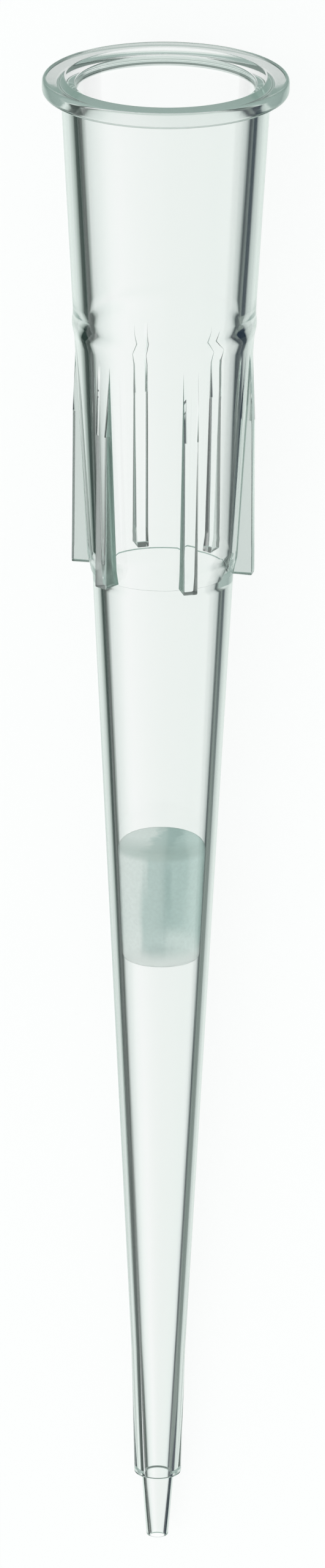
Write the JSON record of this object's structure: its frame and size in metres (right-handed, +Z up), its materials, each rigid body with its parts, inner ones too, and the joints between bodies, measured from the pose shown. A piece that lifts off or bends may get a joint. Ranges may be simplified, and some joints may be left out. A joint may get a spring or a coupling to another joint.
{
  "type": "filter pipette tip",
  "caption": "Clear tapered pipette tip with a flanged mouth, a collar and ribs round its barrel, a porous filter plug inside and a fine stepped point.",
  "frame": {"origin": "on the surface that the tip lies on, under the middle of its bounding box", "axes": "+Z up; the tip lies on its side along Y with its mouth towards -Y, its axis dropping by 3.82 degrees from the mouth to the orifice; X is across it"},
  "size_m": [0.008, 0.0512, 0.008],
  "materials": {
    "clear_polypropylene": "clear, glossy moulded plastic with a faint green tint",
    "porous_filter": "matt, sintered porous polyethylene"
  },
  "bodies": {
    "root": {"tip_body": "clear_polypropylene", "filter_plug": "porous_filter"}
  },
  "joints": []
}
